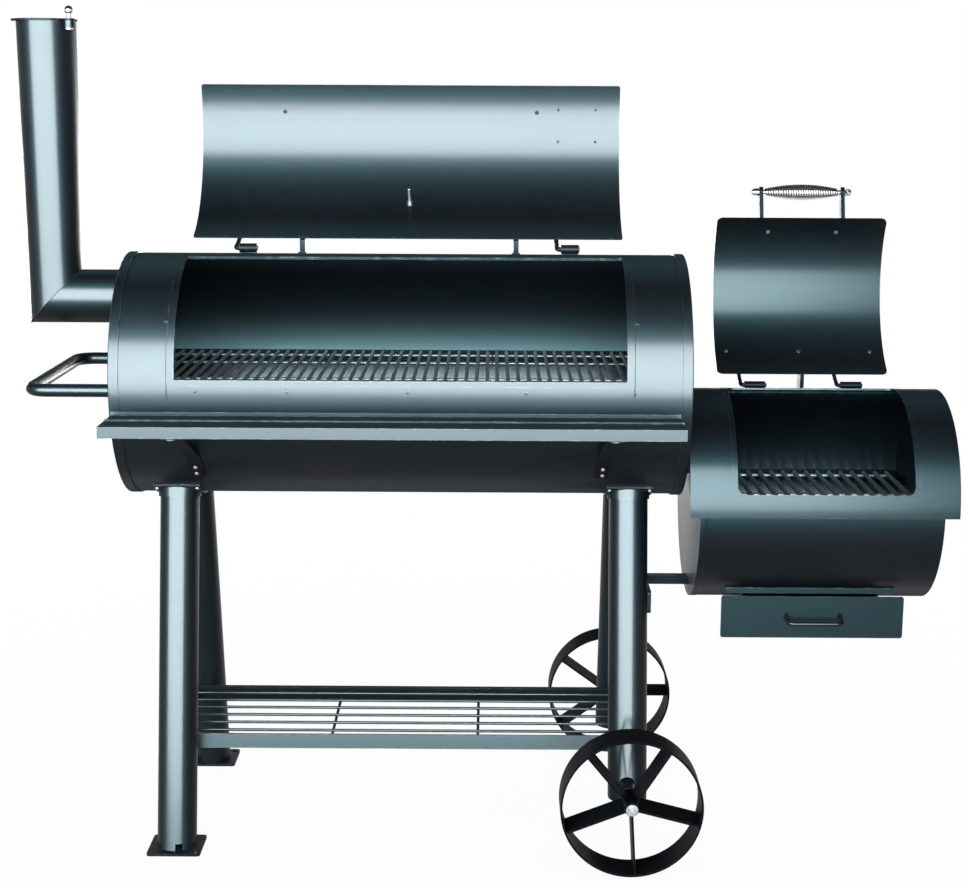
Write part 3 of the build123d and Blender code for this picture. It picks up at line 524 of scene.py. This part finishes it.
def makeCoil(look, middleRadius):
    pitch = 2 * look["coilHalf"] / look["turns"]
    startRadius = look["endRadius"] - look["wire"] / 2
    bpy.ops.mesh.primitive_circle_add(vertices=gripMesh["wireSides"], radius=look["wire"] / 2,
                                      location=(0, startRadius, 0))
    coil = settle(bpy.context.object, "coil")
    winding = coil.modifiers.new("winding", "SCREW")
    winding.axis = "X"
    winding.angle = math.tau
    winding.iterations = look["turns"]
    winding.steps = gripMesh["turnSteps"]
    winding.render_steps = gripMesh["turnSteps"]
    winding.screw_offset = pitch
    bpy.ops.object.modifier_apply(modifier=winding.name)
    # the winding is fatter in the middle, so each point moves out by a rounded amount
    rise = middleRadius - look["endRadius"]
    for vertex in coil.data.vertices:
        along = vertex.co.x / look["coilHalf"] - 1
        reach = math.hypot(vertex.co.y, vertex.co.z)
        grow = 1 + rise * max(0.0, 1 - along * along) / reach
        vertex.co.y *= grow
        vertex.co.z *= grow
        vertex.co.x -= look["coilHalf"]
    bpy.ops.object.mode_set(mode="EDIT")
    bpy.ops.mesh.select_mode(type="VERT")
    bpy.ops.mesh.select_all(action="DESELECT")
    bpy.ops.mesh.select_non_manifold()
    bpy.ops.mesh.fill_holes(sides=0)
    bpy.ops.object.mode_set(mode="OBJECT")
    cleanNormals(coil)
    return coil


def makeRod(look):
    bpy.ops.mesh.primitive_cylinder_add(vertices=gripMesh["barSides"], radius=look["barRadius"],
                                        depth=2 * look["postFace"], rotation=(0, math.pi / 2, 0))
    return settle(bpy.context.object, "rod")


def makeTip(look, side, halfLength):
    # a bullet: a short collar, then rounded in steps towards its nose
    length = halfLength - look["postFace"]
    radius = look["tipRadius"]
    middle = side * (look["postFace"] + (length - radius) / 2)
    bpy.ops.mesh.primitive_cylinder_add(vertices=gripMesh["barSides"], radius=radius,
                                        depth=length - radius, location=(middle, 0, 0),
                                        rotation=(0, math.pi / 2, 0))
    tip = settle(bpy.context.object, "tip")
    for face in tip.data.polygons:
        face.select = face.normal.x * side > gripMesh["endFacing"]
    bpy.ops.object.mode_set(mode="EDIT")
    bpy.ops.mesh.select_mode(type="FACE")
    steps = gripMesh["tipSteps"]
    for step in range(steps):
        before, after = (math.radians(90 * (step + part) / (steps + gripMesh["bluntSteps"]))
                         for part in (0, 1))
        forward = side * radius * (math.sin(after) - math.sin(before))
        bpy.ops.mesh.extrude_region_move(TRANSFORM_OT_translate={"value": (forward, 0, 0)})
        shrink = math.cos(after) / math.cos(before)
        bpy.ops.transform.resize(value=(1, shrink, shrink))
    bpy.ops.object.mode_set(mode="OBJECT")
    return tip


def makeGrip(name, look):
    low, high = (Vector(corner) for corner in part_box(look["node"]))
    centre = (low + high) / 2
    halfLength = (high.x - low.x) / 2
    middleRadius = (high.z - low.z) / 2
    parts = [makeCoil(look, middleRadius), makeRod(look)]
    parts += [makeTip(look, side, halfLength) for side in (-1, 1)]
    grip = joinPieces(parts, name)
    smoothByAngle(grip, gripMesh["smooth"])
    moveMesh(grip, Matrix.Translation(centre))
    finishPiece(grip, look["body"], brightMaterial)
    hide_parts(look["node"])


for gripName, gripLook in gripSettings.items():
    makeGrip(gripName, gripLook)
print("stage: wound grips")

dialSettings = {
    "tickRadius": 0.0335, "longTick": 0.0050, "shortTick": 0.0028, "tickWidth": 0.0007,
    "step": 9, "sweep": 270, "numberStep": 45, "numberValue": 50,
    "numberRadius": 0.0245, "numberSize": 0.0064,
    "dialHalf": 0.0005, "lift": 0.0001, "thick": 0.00025,
}


def jointNamed(name):
    return next(joint for joint in frame["joints"] if joint["name"] == name)


def makeDialMarks(look):
    gauge = jointNamed("gauge_needle_turn")
    out = -Vector(gauge["axis"]).normalized()
    right = Vector((1, 0, 0))
    up = out.cross(right)
    low, high = (Vector(corner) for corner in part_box("thermometer_dial"))
    face = (low + high) / 2 + out * (look["dialHalf"] + look["lift"])
    clearSelection()
    bpy.ops.mesh.primitive_cube_add(size=1)
    marks = bpy.context.object
    bpy.ops.object.mode_set(mode="EDIT")
    bpy.ops.mesh.delete(type="VERT")
    for angle in range(0, look["sweep"] + 1, look["step"]):
        turn = math.radians(angle)
        length = look["longTick"] if angle % look["numberStep"] == 0 else look["shortTick"]
        middle = look["tickRadius"] - length / 2
        bpy.ops.mesh.primitive_cube_add(
            size=1, location=(middle * math.sin(turn), middle * math.cos(turn), look["thick"] / 2),
            rotation=(0, 0, -turn), scale=(look["tickWidth"], length, look["thick"]))
    bpy.ops.object.mode_set(mode="OBJECT")
    marks = settle(marks, "dialMarks")
    numbers = []
    for count in range(look["sweep"] // look["numberStep"] + 1):
        turn = math.radians(count * look["numberStep"])
        place = (look["numberRadius"] * math.sin(turn), look["numberRadius"] * math.cos(turn), 0)
        bpy.ops.object.text_add(location=place)
        number = bpy.context.object
        number.data.body = str(count * look["numberValue"])
        number.data.size = look["numberSize"]
        number.data.align_x = "CENTER"
        number.data.align_y = "CENTER"
        number.data.extrude = look["thick"] / 2
        bpy.ops.object.convert(target="MESH")
        numbers.append(settle(bpy.context.object, "number"))
    marks = joinPieces([marks] + numbers, "dialMarks")
    moveMesh(marks, frameFrom(face, right, up, out))
    finishPiece(marks, "main_lid", markMaterial)


makeDialMarks(dialSettings)
print("stage: thermometer dial")

beadSettings = {"thick": 0.0016, "ripple": 0.30, "pitch": 0.0045, "mitreShare": 0.55,
                "fewestRipples": 8, "rippleSteps": 3, "sides": 8, "smooth": 60}


def makeBead(name, centre, direction, radius, look, stretch=1.0, thick=None):
    # a welded ring: a torus with a row of ripples, stretched where it runs round a slanted cut
    thick = thick or look["thick"]
    ripples = max(look["fewestRipples"], round(math.tau * radius / look["pitch"]))
    bpy.ops.mesh.primitive_torus_add(major_segments=ripples * look["rippleSteps"],
                                     minor_segments=look["sides"], major_radius=radius,
                                     minor_radius=thick)
    bead = settle(bpy.context.object, name)
    for vertex in bead.data.vertices:
        turn = math.atan2(vertex.co.y, vertex.co.x)
        ring = Vector((radius * math.cos(turn), radius * math.sin(turn), 0))
        swell = 1 - look["ripple"] * abs(math.sin(turn * ripples / 2))
        vertex.co = ring + (vertex.co - ring) * swell
        vertex.co.x *= stretch
    moveMesh(bead, frameAlong(centre, direction))
    smoothByAngle(bead, look["smooth"])
    return bead


def makeMitreBead(look):
    stubLow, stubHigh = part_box("chimney_stub")
    radius = (stubHigh[1] - stubLow[1]) / 2
    corner = Vector((stubLow[0] + radius, 0, stubHigh[2] - radius))
    bead = makeBead("chimneyMitreBead", (0, 0, 0), (0, 0, 1), radius, look, stretch=math.sqrt(2),
                    thick=look["thick"] * look["mitreShare"])
    slope = math.sqrt(0.5)
    moveMesh(bead, frameFrom(corner, Vector((slope, 0, slope)), Vector((0, 1, 0)),
                             Vector((-slope, 0, slope))))
    finishPiece(bead, "frame", paintMaterial)


def makeTubeBeads(look):
    stubLow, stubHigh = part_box("chimney_stub")
    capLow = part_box("left_end_cap")[0]
    radius = (stubHigh[1] - stubLow[1]) / 2
    centre = (capLow[0], 0, stubHigh[2] - radius)
    bead = makeBead("chimneyStubBead", centre, (1, 0, 0), radius, look)
    finishPiece(bead, "frame", paintMaterial)
    handleLow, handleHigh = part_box("side_handle")
    rodRadius = (handleHigh[2] - handleLow[2]) / 2
    middle = (handleHigh[2] + handleLow[2]) / 2
    for name, y in (("handleBeadFront", handleLow[1] + rodRadius),
                    ("handleBeadRear", handleHigh[1] - rodRadius)):
        bead = makeBead(name, (capLow[0], y, middle), (1, 0, 0), rodRadius, look)
        finishPiece(bead, "frame", paintMaterial)


makeMitreBead(beadSettings)
makeTubeBeads(beadSettings)
print("stage: weld beads")

spotSettings = {
    "radius": 0.0032, "height": 0.0007, "corners": 14, "topFacing": 0.9, "smooth": 60,
    "steps": [(0.86, 0.25), (0.7, 0.15), (0.4, 0.05)],
    "below": [-0.459, -0.314, -0.120, 0.069, 0.2417], "belowAngle": 89.7,
    "sides": [-0.508, 0.2472], "sideAngle": 57.4,
}


def makeSpot(look):
    # a small flattened dome, the mark that a spot weld leaves
    bpy.ops.mesh.primitive_cylinder_add(vertices=look["corners"], radius=look["radius"],
                                        depth=look["height"])
    spot = settle(bpy.context.object, "spot")
    for face in spot.data.polygons:
        face.select = face.normal.z > look["topFacing"]
    bpy.ops.object.mode_set(mode="EDIT")
    bpy.ops.mesh.select_mode(type="FACE")
    for shrink, lift in look["steps"]:
        bpy.ops.mesh.extrude_region_move(
            TRANSFORM_OT_translate={"value": (0, 0, look["height"] * lift)})
        bpy.ops.transform.resize(value=(shrink, shrink, 1))
    bpy.ops.object.mode_set(mode="OBJECT")
    smoothByAngle(spot, look["smooth"])
    return spot


def makeSpots(look):
    low, high = (Vector(corner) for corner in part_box("main_barrel_shell"))
    radius = (high.z - low.z) / 2
    axisHeight = (high.z + low.z) / 2
    places = [(x, look["belowAngle"]) for x in look["below"]]
    places += [(x, look["sideAngle"]) for x in look["sides"]]
    model = makeSpot(look)
    copies = []
    for x, degrees in places:
        turn = math.radians(degrees)
        out = Vector((0, -math.sin(turn), math.cos(turn)))
        copy = model.copy()
        copy.data = model.data.copy()
        bpy.context.scene.collection.objects.link(copy)
        moveMesh(copy, frameAlong(Vector((x, 0, axisHeight)) + out * radius, out))
        copies.append(copy)
    bpy.data.objects.remove(model)
    spots = joinPieces(copies, "openingSpotWelds")
    finishPiece(spots, "frame", paintMaterial)


makeSpots(spotSettings)
print("stage: spot welds")

gapShadeSettings = {"node": "opening_frame", "shell": "main_barrel_shell", "width": 0.0014,
                   "thick": 0.0003, "lift": 0.0001, "gap": 0.0001, "steps": 60,
                   "topAngle": 15.6, "bottomAngle": 95.0, "smooth": 40}


def makeOpeningGapShade(look):
    # a dull black strip at the joint beside the frame strip on both sides of the opening: painted
    # shade standing in for the shadow in the gap between strip and drum
    frameLow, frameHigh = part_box(look["node"])
    shellLow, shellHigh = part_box(look["shell"])
    drumRadius = (shellHigh[1] - shellLow[1]) / 2
    axisHeight = shellLow[2] + drumRadius
    radius = drumRadius + look["lift"]
    top, bottom = (math.radians(look[key]) for key in ("topAngle", "bottomAngle"))
    lines = []
    for start in (frameLow[0] - look["width"] - look["gap"], frameHigh[0] + look["gap"]):
        bpy.ops.mesh.primitive_grid_add(x_subdivisions=1, y_subdivisions=look["steps"], size=1)
        line = settle(bpy.context.object, "line")
        for vertex in line.data.vertices:
            turn = top + (vertex.co.y + 0.5) * (bottom - top)
            vertex.co = (start + (vertex.co.x + 0.5) * look["width"],
                         -radius * math.sin(turn), axisHeight + radius * math.cos(turn))
        body = line.modifiers.new("thick", "SOLIDIFY")
        body.thickness = look["thick"]
        body.offset = 0
        bpy.ops.object.modifier_apply(modifier=body.name)
        cleanNormals(line)
        lines.append(line)
    joined = joinPieces(lines, "openingGapShade")
    smoothByAngle(joined, look["smooth"])
    finishPiece(joined, "frame", ironMaterial)


makeOpeningGapShade(gapShadeSettings)
print("stage: lines beside the opening")

seamSettings = {"width": 0.0120, "proud": 0.0006, "sink": 0.0006, "segments": 128,
                "edgeShare": 0.5, "edgeGrow": 1.0005, "mergeDistance": 0.000001, "smooth": 40}


def makeShellRing(name, node, look):
    # a thin rolled band round the left end of a drum
    low, high = (Vector(corner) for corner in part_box(node))
    radius = (high.y - low.y) / 2
    middle = (high.z + low.z) / 2
    bpy.ops.mesh.primitive_circle_add(vertices=look["segments"], radius=radius - look["sink"],
                                      rotation=(0, math.pi / 2, 0), location=(low.x, 0, middle))
    ring = settle(bpy.context.object, name)
    bpy.ops.object.mode_set(mode="EDIT")
    bpy.ops.mesh.select_mode(type="VERT")
    bpy.ops.mesh.select_all(action="SELECT")
    outer = (radius + look["proud"]) / (radius - look["sink"])
    edge = look["proud"] * look["edgeShare"]
    grow = look["edgeGrow"]
    rise = outer * (2 - grow)
    flat = look["width"] - 2 * edge
    moves = ((0, rise), (edge, grow), (flat, 1), (edge, 1 / grow), (0, 1 / rise))
    for along, scale in moves:
        bpy.ops.mesh.extrude_region_move(TRANSFORM_OT_translate={"value": (along, 0, 0)})
        bpy.ops.transform.resize(value=(1, scale, scale))
    bpy.ops.object.mode_set(mode="OBJECT")
    cleanNormals(ring, look["mergeDistance"])
    smoothByAngle(ring, look["smooth"])
    finishPiece(ring, "frame", paintMaterial)


makeShellRing("fireboxSeamRing", "firebox_shell", seamSettings)
print("stage: seam ring")


studio = {
    "floorColour": (0.90, 0.90, 0.90),
    "floorClouds": {"Slow": 0.6, "Fine": 30.0},
    "floorLift": 1.01,
    "floorSides": 96,
    "floorGlow": 0.95,
    "floorReach": 14.0,
    "glowNear": 0.9,
    "glowFar": 3.2,
    "ambient": 0.95,
    "ceiling": 0.04,
    "bandLow": 0.10,
    "bandHigh": 0.32,
    "panelPlace": (-1.8, -3.6, 1.75),
    "panelSize": (7.4, 3.3),
    "panelRadiance": 120.0,
    "fireboxPlace": (-2.05, -3.6, 1.75),
    "fireboxSize": (6.9, 3.3),
    "fireboxRadiance": 90.0,
    "fireboxColour": (0.80, 0.97, 1.0),
    "fittingRadiance": 4.0,
    "backPlace": (0.0, 3.8, 0.60),
    "backSize": (6.0, 0.95),
    "backRadiance": 26.0,
    "wheelPlace": (-3.7, -3.6, 1.75),
    "wheelSize": (3.6, 3.3),
    "rightPlace": (4.2, 0.3, 1.15),
    "leftPlace": (-4.2, 0.3, 1.15),
    "sideSize": (3.2, 2.2),
    "sideRadiance": 12.0,
}


def makeWorld(settings):
    world = bpy.data.worlds.new("studio")
    bpy.context.scene.world = world
    world.use_nodes = True
    tree = world.node_tree
    background = tree.nodes["Background"]
    path = addNode(tree, "ShaderNodeLightPath")
    place = addNode(tree, "ShaderNodeTexCoord")
    split = addNode(tree, "ShaderNodeSeparateXYZ")
    wire(tree, place.outputs["Generated"], split.inputs["Vector"])
    # the pale backdrop is seen near the horizon, the ceiling above it is dark
    band = mapRange(tree, split.outputs["Z"], settings["bandLow"], settings["bandHigh"], 1.0,
                    settings["ceiling"])
    mirrored = mathNode(tree, "MAXIMUM", path.outputs["Is Glossy Ray"],
                        path.outputs["Is Transmission Ray"])
    direct = mathNode(tree, "SUBTRACT", 1.0, mirrored)
    level = mathNode(tree, "ADD", mathNode(tree, "MULTIPLY", mirrored, band),
                     mathNode(tree, "MULTIPLY", direct, settings["ambient"]))
    seen = mathNode(tree, "MAXIMUM", level, path.outputs["Is Camera Ray"])
    background.inputs["Color"].default_value = (1.0, 1.0, 1.0, 1.0)
    wire(tree, seen, background.inputs["Strength"])


def sortParts():
    # paint, firebox, wheels, end plates and fittings have their own lamps, so none clips to white
    painted = bpy.data.collections.new("paintedParts")
    firebox = bpy.data.collections.new("fireboxParts")
    fittings = bpy.data.collections.new("brightFittings")
    plates = bpy.data.collections.new("endPlates")
    wheels = bpy.data.collections.new("wheelParts")
    for piece in bpy.context.scene.objects:
        if piece.type != "MESH":
            continue
        if piece.name.endswith(("end_cap", "right_plate", "air_damper")):
            plates.objects.link(piece)
        isPaint = any(slot.material in (paintMaterial, ironMaterial, grateMaterial)
                      for slot in piece.material_slots)
        if not isPaint:
            fittings.objects.link(piece)
        elif piece.name.startswith(("front_wheel", "rear_wheel")):
            wheels.objects.link(piece)
        elif piece.name.startswith(("firebox", "ash", "air")):
            firebox.objects.link(piece)
        else:
            painted.objects.link(piece)
    return painted, firebox, fittings, plates, wheels


def makePanel(name, place, size, radiance, receivers, turnDegrees=0, colour=(1.0, 1.0, 1.0)):
    lampData = bpy.data.lights.new(name, "AREA")
    lampData.color = colour
    lampData.shape = "RECTANGLE"
    lampData.size, lampData.size_y = size
    lampData.energy = radiance * math.pi * size[0] * size[1]
    lamp = bpy.data.objects.new(name, lampData)
    bpy.context.scene.collection.objects.link(lamp)
    lamp.location = place
    # each panel stands upright and faces the smoker
    lamp.rotation_euler = (math.radians(90), 0, math.radians(turnDegrees))
    lamp.visible_camera = False
    lamp.visible_diffuse = False
    lamp.light_linking.receiver_collection = receivers


def makeFloor(settings):
    bpy.ops.object.select_all(action="DESELECT")
    bpy.ops.mesh.primitive_circle_add(vertices=settings["floorSides"], fill_type="NGON",
                                      radius=settings["floorReach"], location=(0, 0, 0))
    floor = bpy.context.object
    floor.name = "studioFloor"
    material = bpy.data.materials.new("studioFloor")
    material.use_nodes = True
    tree = material.node_tree
    shader = tree.nodes["Principled BSDF"]
    clouds = useGroup(tree, cloudGroup, **settings["floorClouds"])
    tone = mixColours(tree, clouds.outputs["Slow"], settings["floorColour"],
                      tuple(value * settings["floorLift"] for value in settings["floorColour"]))
    wire(tree, tone, shader.inputs["Base Color"])
    setInputs(shader, Roughness=1.0)
    shader.inputs["Specular IOR Level"].default_value = 0.0
    # far from the smoker the floor runs into the white backdrop
    place = addNode(tree, "ShaderNodeTexCoord")
    distance = addNode(tree, "ShaderNodeVectorMath", operation="LENGTH")
    wire(tree, place.outputs["Object"], distance.inputs[0])
    far = mapRange(tree, distance.outputs["Value"], settings["glowNear"], settings["glowFar"],
                   settings["floorGlow"], 1.0)
    glow = addNode(tree, "ShaderNodeEmission")
    path = addNode(tree, "ShaderNodeLightPath")
    mirrored = mathNode(tree, "MAXIMUM", path.outputs["Is Glossy Ray"],
                        path.outputs["Is Transmission Ray"])
    seen = mathNode(tree, "MAXIMUM", path.outputs["Is Camera Ray"], mirrored)
    mixer = addNode(tree, "ShaderNodeMixShader")
    wire(tree, mathNode(tree, "MULTIPLY", far, seen), mixer.inputs[0])
    wire(tree, shader.outputs[0], mixer.inputs[1])
    wire(tree, glow.outputs[0], mixer.inputs[2])
    wire(tree, mixer.outputs[0], tree.nodes["Material Output"].inputs["Surface"])
    floor.data.materials.append(material)


makeWorld(studio)
paintedParts, fireboxParts, brightFittings, endPlates, wheelParts = sortParts()
makePanel("frontPanel", studio["panelPlace"], studio["panelSize"], studio["panelRadiance"],
          paintedParts)
makePanel("fireboxPanel", studio["fireboxPlace"], studio["fireboxSize"], studio["fireboxRadiance"],
          fireboxParts, colour=studio["fireboxColour"])
makePanel("fittingPanel", studio["panelPlace"], studio["panelSize"], studio["fittingRadiance"],
          brightFittings)
for backName, backParts in (("backPanel", paintedParts), ("backFireboxPanel", fireboxParts)):
    makePanel(backName, studio["backPlace"], studio["backSize"], studio["backRadiance"],
              backParts, 180)
makePanel("wheelPanel", studio["wheelPlace"], studio["wheelSize"], studio["panelRadiance"],
          wheelParts)
makePanel("rightPanel", studio["rightPlace"], studio["sideSize"], studio["sideRadiance"],
          endPlates, 90)
makePanel("leftPanel", studio["leftPlace"], studio["sideSize"], studio["sideRadiance"],
          endPlates, -90)
makeFloor(studio)
bpy.context.scene.view_settings.view_transform = "Standard"
print("stage: studio")
